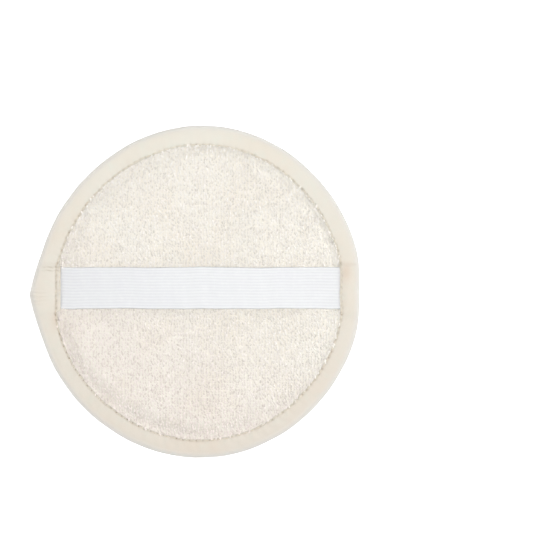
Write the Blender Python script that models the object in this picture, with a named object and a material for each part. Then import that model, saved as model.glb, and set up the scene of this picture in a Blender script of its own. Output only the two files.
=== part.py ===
"""Round loofah scrub pad with a hand strap.

A sheet of pressed loofah and a disc of terry cloth are sewn together inside a
folded cotton binding. A ribbed elastic strap crosses the terry side, with its
ends held under the binding. Metres, +Z up. The pad lies on its loofah side, and
the origin is on the surface it lies on, below the middle of its outline.
"""

import math
import random
from collections import namedtuple

import bmesh
import bpy
from mathutils import Vector, geometry

# Outline, seen from above. Angles are in degrees from +X.
# Each wave has a count round the pad, a size and the angle of one of its peaks.
# Each bump has its angle, how far it reaches out, its half width and its sharpness.
MEAN_RADIUS = 0.0742
EDGE_WAVES = ((2, 0.0008, 77.0), (3, 0.0003, -50.0), (4, 0.00035, 2.0))
LAPPED_CORNER = (181.0, 0.0031, 17.0, 1.6)
STRAP_PULL = (0.0, -0.0013, 16.0, 1.4)
CORNER_DEPTH = 0.0070

# The rim, where everything is pressed together inside the binding.
RIM_HEIGHT = 0.0044
RIM_HALF_THICKNESS = 0.0026
TAPE_THICKNESS = 0.0009
TOP_LIP_WIDTH = 0.0093
UNDER_LIP_WIDTH = 0.0080
LAP_ANGLES = (171.5, 197.0)
LAP_FADES = (1.5, 6.0)
LAP_THICKNESS = 0.0005

# The two sheets. Their edges lie inside the fold of the binding.
GAP = 0.0003
SHEET_INSET = 0.0030
PRESSED_THICKNESS = 0.00125
FOOT_BEYOND_LIP = 0.0006
PUFF_WIDTH = 0.0075
TERRY_RISE = 0.0023
TERRY_DOME = 0.0005
TUFT_HEIGHTS = (0.0004, 0.0012)
TUFT_ROUGHNESS = 0.0005
NET_OPENINGS = (0.62, 0.82)  # width of a pit, as a share of its cell
NET_DEPTHS = (0.0010, 0.0020)
FLAT_SPOT_RADIUS = 0.0085
SHEET_STEPS = 72

# How a sheet's face is split into cells: staggered rows, each cell's middle moved at
# random by up to scatter, a share of the spacing. Stretch makes cells longer along Y.
Grid = namedtuple("Grid", "foot_inset spacing stretch scatter seed")
TUFT_GRID = Grid(TOP_LIP_WIDTH + FOOT_BEYOND_LIP, 0.0049, 1.0, 0.26, 7)
NET_GRID = Grid(UNDER_LIP_WIDTH + FOOT_BEYOND_LIP, 0.0060, 1.25, 0.38, 8)

# The strap, along X.
STRAP_WIDTH = 0.0190
STRAP_THICKNESS = 0.0011
STRAP_Y = 0.0018
STRAP_ARCH = 0.0096
STRAP_RIBS = 9
STRAP_RIB_DEPTH = 0.00025
STRAP_END_INSET = 0.0042
STRAP_STEPS = 26
STRAP_SIDE_CLEARANCE = 0.0004
STRAP_EASE = 0.0050

# The two rows of stitches that hold the binding.
STITCHES = 96
STITCH_GROOVE = 0.0004
THREAD_RADIUS = 0.00038
THREAD_WAIST = 0.45
THREAD_FROM_LIP_EDGE = 0.0010

TERRY_PRESSED_TOP = RIM_HEIGHT + GAP / 2 + PRESSED_THICKNESS
LOOFAH_PRESSED_BOTTOM = RIM_HEIGHT - GAP / 2 - PRESSED_THICKNESS
STRAP_END_HEIGHT = TERRY_PRESSED_TOP + GAP


def smooth(share):
    """0 below 0, 1 above 1, and an even ramp between."""
    share = min(1.0, max(0.0, share))
    return share * share * (3.0 - 2.0 * share)


def bump(angle, shape):
    """How far a local bump moves the outline at an angle."""
    middle, reach, half_width, sharpness = shape
    away = abs(math.remainder(angle - math.radians(middle), math.tau))
    return reach * max(0.0, 1.0 - away / math.radians(half_width)) ** sharpness


def smooth_radius(angle):
    """The outline without its corner. The strap pulls it in a little at its plain end."""
    waves = sum(
        size * math.cos(count * (angle - math.radians(peak))) for count, size, peak in EDGE_WAVES
    )
    return MEAN_RADIUS + waves + bump(angle, STRAP_PULL)


def rim_point(angle, inset, height):
    """The point that lies inset from the pad's edge, at a height above the table."""
    corner = bump(angle, LAPPED_CORNER) * (1.0 - smooth(inset / CORNER_DEPTH))
    radius = smooth_radius(angle) + corner - inset
    return Vector((radius * math.cos(angle), radius * math.sin(angle), height))


def inset_of(point):
    """How far a point lies inside the outline without its corner."""
    angle = math.atan2(point[1], point[0])
    return smooth_radius(angle) - math.hypot(point[0], point[1])


def middle_offset():
    """Where the pad's middle lies, so that its outline with the corner is centred on X."""
    left = smooth_radius(math.pi) + LAPPED_CORNER[1]
    return (left - smooth_radius(0.0)) / 2


def strap_half_span():
    """From the middle to where the strap comes out from under the binding."""
    return smooth_radius(0.0) - TOP_LIP_WIDTH


def strap_underside(x):
    """Height of the strap's underside: flat under the binding, a low arch between."""
    share = min(1.0, abs(x) / strap_half_span())
    return STRAP_END_HEIGHT + STRAP_ARCH * (1.0 - share * share)


def beside_strap(y):
    """1 across the strap's width, 0 well beside it."""
    over = abs(y - STRAP_Y) - STRAP_WIDTH / 2 - STRAP_SIDE_CLEARANCE
    return 1.0 - smooth(over / STRAP_EASE)


def top_lip_lift(angle):
    """How much the binding rises over the strap's ends."""
    return (STRAP_THICKNESS + GAP) * beside_strap(smooth_radius(angle) * math.sin(angle))


def lap(angle):
    """Extra thickness where one end of the binding laps over the other."""
    degrees = math.degrees(angle) % 360.0
    rise = smooth((degrees - LAP_ANGLES[0]) / LAP_FADES[0])
    fall = smooth((LAP_ANGLES[1] - degrees) / LAP_FADES[1])
    return LAP_THICKNESS * rise * fall


def top_lip_rise(angle):
    """How far the top of the binding is above the rim's middle."""
    return RIM_HALF_THICKNESS + top_lip_lift(angle) + lap(angle)


def under_lip_drop(angle):
    """How far the underside of the binding is below the rim's middle."""
    return RIM_HALF_THICKNESS + lap(angle) / 2


def new_material(name, colour, roughness):
    material = bpy.data.materials.new(name)
    material.use_nodes = True
    shader = material.node_tree.nodes["Principled BSDF"]
    shader.inputs["Base Color"].default_value = (*colour, 1.0)
    shader.inputs["Roughness"].default_value = roughness
    shader.inputs["Metallic"].default_value = 0.0
    return material


def add_object(name, shape, material, smooth_shading=False):
    """Turns a finished bmesh into an object whose place is the pad's middle."""
    bmesh.ops.recalc_face_normals(shape, faces=shape.faces)
    bmesh.ops.triangulate(shape, faces=shape.faces)
    mesh = bpy.data.meshes.new(name)
    shape.to_mesh(mesh)
    shape.free()
    mesh.materials.append(material)
    if smooth_shading:
        mesh.shade_smooth()
        mesh.set_sharp_from_angle(angle=math.radians(40))
    item = bpy.data.objects.new(name, mesh)
    item.location = (middle_offset(), 0.0, 0.0)
    bpy.context.scene.collection.objects.link(item)
    return item


def sweep(shape, rings, closed):
    """Skins a row of rings of points. An open row gets flat ends."""
    loops = [[shape.verts.new(point) for point in ring] for ring in rings]
    pairs = list(zip(loops, loops[1:] + loops[:1])) if closed else list(zip(loops, loops[1:]))
    for first, second in pairs:
        for k, corner_vert in enumerate(first):
            after = (k + 1) % len(first)
            shape.faces.new((corner_vert, first[after], second[after], second[k]))
    if not closed:
        shape.faces.new(loops[0])
        shape.faces.new(loops[-1])


def cell_middles(grid):
    """Middles of the cells that lie clear of the edge."""
    rng = random.Random(grid.seed)
    across = grid.spacing / math.sqrt(grid.stretch)
    along = grid.spacing * math.sqrt(grid.stretch)
    count = math.ceil(MEAN_RADIUS / across) + 1
    middles = []
    for row in range(-count, count + 1):
        for column in range(-count, count + 1):
            x = (row + rng.uniform(-grid.scatter, grid.scatter)) * across
            y = (column + (row % 2) / 2 + rng.uniform(-grid.scatter, grid.scatter)) * along
            if inset_of((x, y)) > grid.foot_inset + 0.6 * grid.spacing:
                middles.append(Vector((x, y)))
    return middles


def edge_points(inset, first_step):
    """Even steps round the outline at an inset, as points in the plane."""
    steps = [(k + first_step) * math.tau / SHEET_STEPS for k in range(SHEET_STEPS)]
    return [rim_point(angle, inset, 0.0).to_2d() for angle in steps]


def cells_of(grid):
    """Splits a sheet's face into irregular cells.

    Returns the corners, and each cell as indices of corners. The first
    SHEET_STEPS corners are on the face's edge, and so are the first SHEET_STEPS cells.
    """
    middles = edge_points(grid.foot_inset, -0.5) + cell_middles(grid)
    joined = geometry.delaunay_2d_cdt(middles, [], [list(range(SHEET_STEPS))], 1, 1e-7)
    middles, triangles = joined[0], joined[2]
    corners = edge_points(grid.foot_inset, 0.0)
    cells = [[] for _ in middles]
    for triangle in triangles:
        for index in triangle:
            cells[index].append(len(corners))
        corners.append(sum((middles[k] for k in triangle), Vector((0.0, 0.0))) / 3)
    for index in range(SHEET_STEPS):
        cells[index] += [index, (index - 1) % SHEET_STEPS]
    return corners, [in_turn(middle, cell, corners) for middle, cell in zip(middles, cells)]


def in_turn(middle, cell, corners):
    """A cell's corners in order round its middle, starting on the side away from the pad's."""
    outward = math.atan2(middle.y, middle.x)

    def bearing(index):
        away = corners[index] - middle
        return math.remainder(math.atan2(away.y, away.x) - outward + math.pi, math.tau)

    return sorted(cell, key=bearing)


def sheet_shape(grid, face_height, back_height, rim_height):
    """A closed sheet: a face of cells, a foot held at the rim and a flat back.

    Returns it with the cells that are clear of the edge.
    """
    corners, cells = cells_of(grid)
    shape = bmesh.new()
    verts = [shape.verts.new((c.x, c.y, face_height(c))) for c in corners]
    cell_faces = [shape.faces.new([verts[k] for k in cell]) for cell in cells]
    outline = edge_points(SHEET_INSET, 0.0)
    rim = [shape.verts.new((p.x, p.y, rim_height)) for p in outline]
    back = [shape.verts.new((p.x, p.y, back_height)) for p in outline]
    for inner, outer in ((verts[:SHEET_STEPS], rim), (rim, back)):
        for k in range(SHEET_STEPS):
            after = (k + 1) % SHEET_STEPS
            shape.faces.new((inner[k], outer[k], outer[after], inner[after]))
    bmesh.ops.poke(shape, faces=[shape.faces.new(back)])
    return shape, cell_faces[SHEET_STEPS:]


def terry_height(place):
    """Height of the pile between its tufts. The strap presses it down near its ends."""
    inset = inset_of(place)
    if inset <= TUFT_GRID.foot_inset:
        return TERRY_PRESSED_TOP
    puff = smooth((inset - TUFT_GRID.foot_inset) / PUFF_WIDTH)
    dome = smooth((inset - TUFT_GRID.foot_inset) / (MEAN_RADIUS - TUFT_GRID.foot_inset))
    height = TERRY_PRESSED_TOP + TERRY_RISE * puff + TERRY_DOME * dome
    room = strap_underside(place[0]) - GAP - TUFT_ROUGHNESS - TUFT_HEIGHTS[1]
    dent = max(0.0, height - room) * beside_strap(place[1])
    return max(TERRY_PRESSED_TOP, height - dent)


def tuft_share(place):
    """How much of the tufts' full height fits at a place: less where the strap presses."""
    full = TUFT_ROUGHNESS + TUFT_HEIGHTS[1]
    room = (strap_underside(place.x) - GAP - place.z) / full
    return 1.0 - beside_strap(place.y) * (1.0 - min(1.0, max(0.0, room)))


def add_terry_cloth():
    """The soft side: a disc of looped cotton, its pile shown as uneven tufts."""
    rim_heights = (RIM_HEIGHT + GAP / 2, TERRY_PRESSED_TOP)
    shape, tufts = sheet_shape(TUFT_GRID, terry_height, *rim_heights)
    rng = random.Random(TUFT_GRID.seed)
    shape.verts.index_update()
    hollows = {vert.index: vert for face in tufts for vert in face.verts}
    for index in sorted(hollows):
        place = hollows[index].co
        place.z += rng.uniform(-1.0, 1.0) * TUFT_ROUGHNESS * tuft_share(place)
    for tip in bmesh.ops.poke(shape, faces=tufts)["verts"]:
        tip.co.z += rng.uniform(*TUFT_HEIGHTS) * tuft_share(tip.co)
    add_object("terry_cloth", shape, new_material("terry", (0.86, 0.82, 0.75), 0.95))


def loofah_height(place):
    """Height of the underside of the loofah, which lies flat on the table but for its rim."""
    puff = smooth((inset_of(place) - NET_GRID.foot_inset) / PUFF_WIDTH)
    return LOOFAH_PRESSED_BOTTOM * (1.0 - puff)


def add_loofah_sheet():
    """The rough side: pressed gourd fibre, a raised net over pits, with a flat spot to rest on."""
    rim_heights = (RIM_HEIGHT - GAP / 2, LOOFAH_PRESSED_BOTTOM)
    shape, cells = sheet_shape(NET_GRID, loofah_height, *rim_heights)
    pits = [
        face
        for face in cells
        if max(vert.co.to_2d().length for vert in face.verts) > FLAT_SPOT_RADIUS
    ]
    bmesh.ops.inset_individual(shape, faces=pits, thickness=0.0)
    rng = random.Random(NET_GRID.seed)
    for floor in pits:
        middle = floor.calc_center_median()
        opening = rng.uniform(*NET_OPENINGS)
        depth = rng.uniform(*NET_DEPTHS)
        for vert in floor.verts:
            vert.co = middle.lerp(vert.co, opening)
            vert.co.z += depth
    add_object("loofah_sheet", shape, new_material("loofah", (0.80, 0.72, 0.55), 0.9))


def binding_angles():
    """Even steps, closer together over the strap's ends, the lap and the corner."""
    fine, coarse, close_up = 2, 5, 16
    angles = []
    for half_turn in (0, 180):
        angles += range(half_turn - close_up, half_turn + close_up, fine)
        angles += range(half_turn + close_up, half_turn + 180 - close_up, coarse)
    return [math.radians(a) for a in angles]


def binding_ring(angle):
    """One section of the binding, from the top lip's edge round the fold and back inside."""
    half = RIM_HALF_THICKNESS
    hollow = half - TAPE_THICKNESS
    top = top_lip_rise(angle)
    under = under_lip_drop(angle)
    lift = top_lip_lift(angle)
    shoulder = math.sqrt(0.5)
    top_stitch = TOP_LIP_WIDTH - THREAD_FROM_LIP_EDGE
    under_stitch = UNDER_LIP_WIDTH - THREAD_FROM_LIP_EDGE
    section = (
        (TOP_LIP_WIDTH, top),
        (top_stitch, top - STITCH_GROOVE),
        ((half + top_stitch) / 2, top),
        (half, top),
        (half * (1 - shoulder), (half + top) / 2 * shoulder),
        (0.0, 0.0),
        (half * (1 - shoulder), -half * shoulder),
        (half, -under),
        (under_stitch, -under + STITCH_GROOVE),
        (UNDER_LIP_WIDTH, -under),
        (UNDER_LIP_WIDTH, -hollow),
        (half, -hollow),
        (TAPE_THICKNESS, 0.0),
        (half, hollow + lift),
        (TOP_LIP_WIDTH, hollow + lift),
    )
    return [rim_point(angle, inset, RIM_HEIGHT + up) for inset, up in section]


def add_edge_binding():
    """One strip of cotton tape, folded over the rim all the way round, its ends lapped."""
    shape = bmesh.new()
    sweep(shape, [binding_ring(angle) for angle in binding_angles()], closed=True)
    add_object("edge_binding", shape, new_material("binding", (0.82, 0.77, 0.67), 0.9), True)


def strap_ring(x):
    """One section across the strap: a flat underside and a ribbed top."""
    low = strap_underside(x)
    edge = STRAP_WIDTH / 2
    ring = [Vector((x, STRAP_Y + edge, low)), Vector((x, STRAP_Y - edge, low))]
    for k in range(2 * STRAP_RIBS + 1):
        y = STRAP_Y - edge + STRAP_WIDTH * k / (2 * STRAP_RIBS)
        groove = 0.0 if k % 2 else STRAP_RIB_DEPTH
        ring.append(Vector((x, y, low + STRAP_THICKNESS - groove)))
    return ring


def add_hand_strap():
    """A flat band of ribbed elastic, arched over the terry for a hand to go under."""
    right = smooth_radius(0.0) - STRAP_END_INSET
    left = -smooth_radius(math.pi) + STRAP_END_INSET
    stations = [left, *free_stations(), right]
    shape = bmesh.new()
    sweep(shape, [strap_ring(x) for x in stations], closed=False)
    add_object("hand_strap", shape, new_material("elastic", (0.88, 0.88, 0.90), 0.6), True)


def free_stations():
    """Where the free part of the strap is cut across, from one lip of the binding to the other."""
    span = strap_half_span()
    return [span * (2 * k / STRAP_STEPS - 1) for k in range(STRAP_STEPS + 1)]


def thread_rings(lip_rise, inset, side):
    """Rings of a thread that is thick in the middle of each stitch and thin between stitches.

    Side is 1 above the rim and -1 below it. The thread lies in the groove of its lip.
    """
    half_stitch = math.pi / STITCHES
    rings = []
    for k in range(2 * STITCHES):
        angle = k * half_stitch
        radius = THREAD_RADIUS * (1.0 if k % 2 else THREAD_WAIST)
        near = (angle - half_stitch, angle, angle + half_stitch)
        seat = max(lip_rise(a) for a in near) - STITCH_GROOVE
        ring = []
        for count in range(3):
            turn = count * math.tau / 3
            rise = seat + GAP + radius * (0.5 + math.cos(turn))
            across = radius * math.sin(turn)
            ring.append(rim_point(angle, inset + across, RIM_HEIGHT + side * rise))
        rings.append(ring)
    return rings


def add_thread(name, lip_rise, lip_width, side, material):
    """One row of stitches all the way round, on a lip of the binding."""
    shape = bmesh.new()
    rings = thread_rings(lip_rise, lip_width - THREAD_FROM_LIP_EDGE, side)
    sweep(shape, rings, closed=True)
    add_object(name, shape, material)


def main():
    for item in list(bpy.data.objects):
        bpy.data.objects.remove(item)
    add_loofah_sheet()
    add_terry_cloth()
    add_edge_binding()
    add_hand_strap()
    cotton = new_material("thread", (0.62, 0.52, 0.38), 0.8)
    add_thread("thread_top", top_lip_rise, TOP_LIP_WIDTH, 1, cotton)
    add_thread("thread_under", under_lip_drop, UNDER_LIP_WIDTH, -1, cotton)


main()
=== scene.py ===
# %% [markdown]
# # Dressing a round loofah scrub pad
# The pad is a bath tool: pressed loofah below, terry cloth on top, a folded cotton
# binding round the rim and a wide white elastic strap for the hand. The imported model
# gives the solids that a simulator uses. This lesson keeps their sizes and makes the
# yarn, fibre and thread that the eye expects. Lengths are in metres.

import math

import bpy
import numpy as np
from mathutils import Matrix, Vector
from mathutils.geometry import delaunay_2d_cdt


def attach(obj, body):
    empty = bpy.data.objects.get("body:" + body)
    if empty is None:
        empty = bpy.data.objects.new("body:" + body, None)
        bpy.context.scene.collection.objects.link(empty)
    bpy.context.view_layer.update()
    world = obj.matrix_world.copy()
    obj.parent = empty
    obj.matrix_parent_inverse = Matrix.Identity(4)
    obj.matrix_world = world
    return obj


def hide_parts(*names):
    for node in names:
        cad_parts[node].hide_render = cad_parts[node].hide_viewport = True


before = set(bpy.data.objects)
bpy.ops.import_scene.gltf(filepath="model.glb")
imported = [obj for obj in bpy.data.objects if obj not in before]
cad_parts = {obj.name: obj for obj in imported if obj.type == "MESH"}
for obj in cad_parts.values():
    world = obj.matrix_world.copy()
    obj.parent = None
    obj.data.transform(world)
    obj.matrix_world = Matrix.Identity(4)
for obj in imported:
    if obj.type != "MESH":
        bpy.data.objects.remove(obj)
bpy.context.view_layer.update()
print("packed nodes:", ", ".join(sorted(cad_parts)))

# %% [markdown]
# ## The pad's pattern
# A sewer cuts every layer from one paper pattern. Here the pattern is a function: it
# gives the outline's radius at each angle. The outline is a slightly uneven circle with
# a small corner at the left, where the two ends of the binding lap. All layers take
# their shape from it, so they stay together when one number changes.

# %% The outline as a function of the angle
MEAN_RADIUS = 0.0742
EDGE_WAVES = ((2, 0.0008, 77.0), (3, 0.0003, -50.0), (4, 0.00035, 2.0))
LAPPED_CORNER = (181.0, 0.0031, 17.0, 1.6)
STRAP_PULL = (0.0, -0.0013, 16.0, 1.4)
CORNER_DEPTH = 0.0070


def smooth(share):
    """Goes from 0 to 1 with level ends."""
    share = np.clip(share, 0.0, 1.0)
    return share * share * (3 - 2 * share)


def turn_from(angle, degrees):
    """The signed turn from a direction in degrees to an angle in radians."""
    return (angle - math.radians(degrees) + math.pi) % math.tau - math.pi


def bump(angle, shape):
    """A pointed swelling of the outline: where, how far, half its width and how sharp."""
    middle, reach, half_width, sharpness = shape
    share = 1 - np.abs(turn_from(angle, middle)) / math.radians(half_width)
    return reach * np.clip(share, 0.0, 1.0) ** sharpness


def outline(angle):
    """The radius of the rim without its corner."""
    waves = sum(size * np.cos(count * turn_from(angle, peak)) for count, size, peak in EDGE_WAVES)
    return MEAN_RADIUS + waves + bump(angle, STRAP_PULL)


def at_rim(angle, inset, height):
    """Places in the world at an inset from the rim. Only the outer part feels the corner."""
    corner = bump(angle, LAPPED_CORNER) * (1 - smooth(inset / CORNER_DEPTH))
    radius = outline(angle) + corner - inset
    x = PAD_MIDDLE + radius * np.cos(angle)
    return np.stack(np.broadcast_arrays(x, radius * np.sin(angle), height), -1)


def y_at(angle, inset):
    """How far across the strap's line a place at an inset lies."""
    return (outline(angle) - inset) * np.sin(angle)


def inset_of(x, y):
    """How far inside the outline a place of the pad is."""
    x = x - PAD_MIDDLE
    return outline(np.arctan2(y, x)) - np.hypot(x, y)


PAD_MIDDLE = float(outline(math.pi) + LAPPED_CORNER[1] - outline(0.0)) / 2
print(f"pad middle {PAD_MIDDLE * 1000:.2f} mm from the box's middle")

# %% [markdown]
# The layers also share their heights. The rim is pressed flat by the seam and the
# middle puffs up. The strap arches over the terry, and its two ends go under the
# binding, which lifts there to let them in.

# %% The heights of the layers
RIM_HEIGHT = 0.0044
RIM_HALF = 0.0026
TAPE_THICKNESS = 0.0009
TOP_LIP = 0.0093
UNDER_LIP = 0.0080
GAP = 0.0003
PRESSED = 0.00125
TERRY_UNDERSIDE = RIM_HEIGHT + GAP / 2
TERRY_FLAT = TERRY_UNDERSIDE + PRESSED
LOOFAH_TOP = RIM_HEIGHT - GAP / 2
LOOFAH_FLAT = LOOFAH_TOP - PRESSED
PUFF_WIDTH = 0.0075
TERRY_RISE = 0.0023
TERRY_DOME = 0.0005
PILE_HEIGHT = 0.0013
STRAP_WIDTH = 0.0190
STRAP_THICKNESS = 0.0011
STRAP_MIDDLE_Y = 0.0018
STRAP_ARCH = 0.0096
STRAP_EASE = 0.0050
STRAP_END_HEIGHT = TERRY_FLAT + GAP
STRAP_HALF_SPAN = float(outline(0.0)) - TOP_LIP


def span_share(x):
    """0 at the middle of the strap and 1 where it meets the binding."""
    return np.clip(np.abs(x - PAD_MIDDLE) / STRAP_HALF_SPAN, 0.0, 1.0)


def strap_underside(x):
    """The height of the strap's underside along the pad."""
    return STRAP_END_HEIGHT + STRAP_ARCH * (1 - span_share(x)**2)


def beside_strap(y, ease):
    """1 within the strap's width, fading to 0 beside it."""
    over = np.abs(y - STRAP_MIDDLE_Y) - STRAP_WIDTH / 2
    return 1 - smooth(over / ease)


def terry_top(x, y):
    """The height of the terry cloth, without its loops."""
    inset = inset_of(x, y)
    puff = smooth((inset - TOP_LIP) / PUFF_WIDTH)
    dome = smooth((inset - TOP_LIP) / (MEAN_RADIUS - TOP_LIP))
    height = TERRY_FLAT + TERRY_RISE * puff + TERRY_DOME * dome
    room = strap_underside(x) - GAP - PILE_HEIGHT
    dent = np.clip(height - room, 0.0, None) * beside_strap(y, STRAP_EASE)
    return np.where(inset > TOP_LIP, np.maximum(TERRY_FLAT, height - dent), TERRY_FLAT)


def loofah_face(x, y):
    """The height of the loofah's working face, which is the pad's underside."""
    puff = smooth((inset_of(x, y) - UNDER_LIP) / PUFF_WIDTH)
    return LOOFAH_FLAT * (1 - puff)


puffed = float(terry_top(PAD_MIDDLE, 0.03))
print(f"the terry puffs from {TERRY_FLAT * 1000:.2f} to {puffed * 1000:.2f} mm")

# %% [markdown]
# ## Small helpers
# A few tools serve every piece. The first ones turn points and faces into an object and
# keep values on it. The next ones place nodes. A node's output is wrapped in a small
# class, so that a sum written in the usual way places the nodes that work it out.

# %% Mesh helpers
def add_object(name, data):
    """An object at the origin."""
    thing = bpy.data.objects.new(name, data)
    bpy.context.scene.collection.objects.link(thing)
    return thing


def new_object(name, points, faces):
    """A mesh with smooth faces, as an object."""
    mesh = bpy.data.meshes.new(name)
    mesh.from_pydata([tuple(p) for p in points], [], [tuple(f) for f in faces])
    mesh.shade_smooth()
    return add_object(name, mesh)


def evaluated(thing):
    """The object as its modifiers leave it."""
    return thing.evaluated_get(bpy.context.evaluated_depsgraph_get())


def flat_numbers(values):
    """Numbers in one row, as Blender takes them."""
    return np.asarray(values, np.float32).reshape(-1)


def points_of(thing):
    """The mesh's points as an array."""
    points = np.empty(len(thing.data.vertices) * 3, np.float32)
    thing.data.vertices.foreach_get("co", points)
    return points.reshape(-1, 3)


def move_points(thing, points):
    """Puts the mesh's points at new places."""
    thing.data.vertices.foreach_set("co", flat_numbers(points))


def ring_faces(rows, columns):
    """Four-sided faces over a grid of points that closes on itself both ways."""
    row, column = np.arange(rows)[:, None], np.arange(columns)[None, :]
    corners = [(row, column), (row + 1, column), (row + 1, column + 1), (row, column + 1)]
    return np.stack([(r % rows) * columns + c % columns for r, c in corners], -1).reshape(-1, 4), corners


def store_uv(thing, corners, along, across):
    """Keeps a flat map in metres, so that a weave follows the piece."""
    values = [np.stack(np.broadcast_arrays(along[r], across[c]), -1) for r, c in corners]
    thing.data.uv_layers.new(name="UVMap").data.foreach_set("uv", flat_numbers(np.stack(values, 2)))


def store_value(thing, name, values):
    """Keeps one number a point, for a material or a tree to read."""
    attribute = thing.data.attributes.new(name, "FLOAT", "POINT")
    attribute.data.foreach_set("value", flat_numbers(values))


# %% Node helpers
class Value:
    """A node's output. A sum written with it places the node that works it out."""

    def __init__(self, socket):
        self.socket = socket
        self.tree = socket.id_data

    def __getitem__(self, key):
        return Value(self.socket.node.outputs[key])

    def __neg__(self):
        return self * -1.0

    def to(self, kind, inputs=None, **settings):
        """Feeds the output into the first input of a new geometry node."""
        return put(self.tree, "GeometryNode" + kind, {0: self, **(inputs or {})}, **settings)


def teach_sign(sign, operation):
    """Lets outputs stand on either side of a sign such as + or <."""
    setattr(Value, f"__{sign}__", lambda self, other: maths(operation, self, other))
    setattr(Value, f"__r{sign}__", lambda self, other: maths(operation, other, self))


for sign_name, operation_name in (("add", "ADD"), ("sub", "SUBTRACT"), ("mul", "MULTIPLY"),
                                  ("truediv", "DIVIDE"), ("lt", "LESS_THAN"), ("gt", "GREATER_THAN")):
    teach_sign(sign_name, operation_name)


def fill(node, inputs):
    """Links or sets a node's inputs."""
    for socket, value in inputs.items():
        if isinstance(value, Value):
            value.tree.links.new(value.socket, node.inputs[socket])
        else:
            node.inputs[socket].default_value = value


def put(tree, kind, inputs=None, **settings):
    """Places a node, sets its options, fills its inputs and gives its first output."""
    node = tree.nodes.new(kind)
    for option, value in settings.items():
        setattr(node, option, value)
    fill(node, inputs or {})
    return Value(node.outputs[0]) if len(node.outputs) else None


def is_vector(value):
    """Tells a vector or a colour from a number."""
    kinds = ("VECTOR", "RGBA", "ROTATION")
    return isinstance(value, tuple) or isinstance(value, Value) and value.socket.type in kinds


def tree_of(values):
    """The tree that the outputs among some values belong to."""
    return next(value.tree for value in values if isinstance(value, Value))


def maths(operation, *values):
    """One sum on numbers or vectors. A vector times a number is scaled by it."""
    tree, inputs = tree_of(values), dict(enumerate(values))
    if not any(is_vector(value) for value in values):
        return put(tree, "ShaderNodeMath", inputs, operation=operation)
    if operation == "MULTIPLY" and not is_vector(values[1]):
        return put(tree, "ShaderNodeVectorMath", {0: values[0], "Scale": values[1]}, operation="SCALE")
    return put(tree, "ShaderNodeVectorMath", inputs, operation=operation)


def vector(x=0.0, y=0.0, z=0.0):
    """Three numbers or outputs as one vector."""
    return put(tree_of((x, y, z)), "ShaderNodeCombineXYZ", {0: x, 1: y, 2: z})


def parts(value):
    """The three numbers of a vector."""
    separate = put(value.tree, "ShaderNodeSeparateXYZ", {0: value})
    return [separate[axis] for axis in range(3)]


def fade(value, start, end, low=0.0, high=1.0):
    """Goes from low to high while the value goes from start to end."""
    return put(value.tree, "ShaderNodeMapRange", {0: value, 1: start, 2: end, 3: low, 4: high})


def noise(place, scale, detail):
    """Soft noise: a number, and as its second output a colour."""
    return put(place.tree, "ShaderNodeTexNoise", {"Vector": place, "Scale": scale, "Detail": detail})


# %% Geometry Nodes helpers
SOCKETS = {float: "NodeSocketFloat", int: "NodeSocketInt"}
HALF_WAY = (0.5, 0.5, 0.5)


def new_tree(name, sizes):
    """An empty tree with a geometry input, named sizes and a material."""
    tree = bpy.data.node_groups.new(name, "GeometryNodeTree")
    tree.interface.new_socket(name="Geometry", in_out="INPUT", socket_type="NodeSocketGeometry")
    for size, value in sizes.items():
        socket = tree.interface.new_socket(name=size, in_out="INPUT", socket_type=SOCKETS[type(value)])
        socket.default_value = value
    tree.interface.new_socket(name="Finish", in_out="INPUT", socket_type="NodeSocketMaterial")
    tree.interface.new_socket(name="Geometry", in_out="OUTPUT", socket_type="NodeSocketGeometry")
    return tree, put(tree, "NodeGroupInput")


def close_tree(given, geometry):
    """Ends a tree: real copies, smooth faces and the material."""
    soft = geometry.to("RealizeInstances").to("SetShadeSmooth")
    put(given.tree, "NodeGroupOutput", {0: soft.to("SetMaterial", {"Material": given["Finish"]})})
    return given.tree


def grow(tree, carrier, name, finish, **sizes):
    """Runs a tree on a carrier and keeps the result as a plain mesh of its own."""
    modifier = carrier.modifiers.new(tree.name, "NODES")
    modifier.node_group = tree
    for item in tree.interface.items_tree:
        key = item.name.lower().replace(" ", "_")
        if item.in_out == "INPUT" and key in sizes:
            modifier[item.identifier] = sizes[key]
        elif item.in_out == "INPUT" and item.name == "Finish":
            modifier[item.identifier] = finish
    mesh = bpy.data.meshes.new_from_object(evaluated(carrier))
    carrier.modifiers.remove(modifier)
    print(f"{name}: {sum(len(p.vertices) - 2 for p in mesh.polygons)} triangles")
    return add_object(name, mesh)


def moved(geometry, offset):
    """Geometry moved by an offset."""
    return geometry.to("SetPosition", {"Offset": offset})


def put_at(geometry, place):
    """Geometry put at new places."""
    return geometry.to("SetPosition", {"Position": place})


def keep(geometry, label, value, kind="FLOAT", domain="POINT"):
    """Geometry with a value kept on each element."""
    return geometry.to("StoreNamedAttribute", {"Name": label, "Value": value}, data_type=kind, domain=domain)


def named(tree, label):
    """A number kept on the geometry."""
    return put(tree, "GeometryNodeInputNamedAttribute", {0: label}, data_type="FLOAT")


def without(geometry, test, domain="POINT"):
    """Geometry without the elements that a test picks."""
    return geometry.to("DeleteGeometry", {1: test}, domain=domain)


def any_of(first, *others):
    """1 where any of some tests is true."""
    for other in others:
        first = maths("MAXIMUM", first, other)
    return first


def position(tree):
    """Where each point is."""
    return put(tree, "GeometryNodeInputPosition")


def index(tree):
    """The number of each point."""
    return put(tree, "GeometryNodeInputIndex")


def random_value(given, low, high, number=0):
    """A random number or vector for each element. The number tells the draws apart."""
    vectors = ("FLOAT_VECTOR", 0, 1, 0)
    kind, low_at, high_at, out = vectors if isinstance(low, tuple) else ("FLOAT", 2, 3, 1)
    return put(given.tree, "FunctionNodeRandomValue",
               {low_at: low, high_at: high, "Seed": given["Seed"] + number}, data_type=kind)[out]


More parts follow.
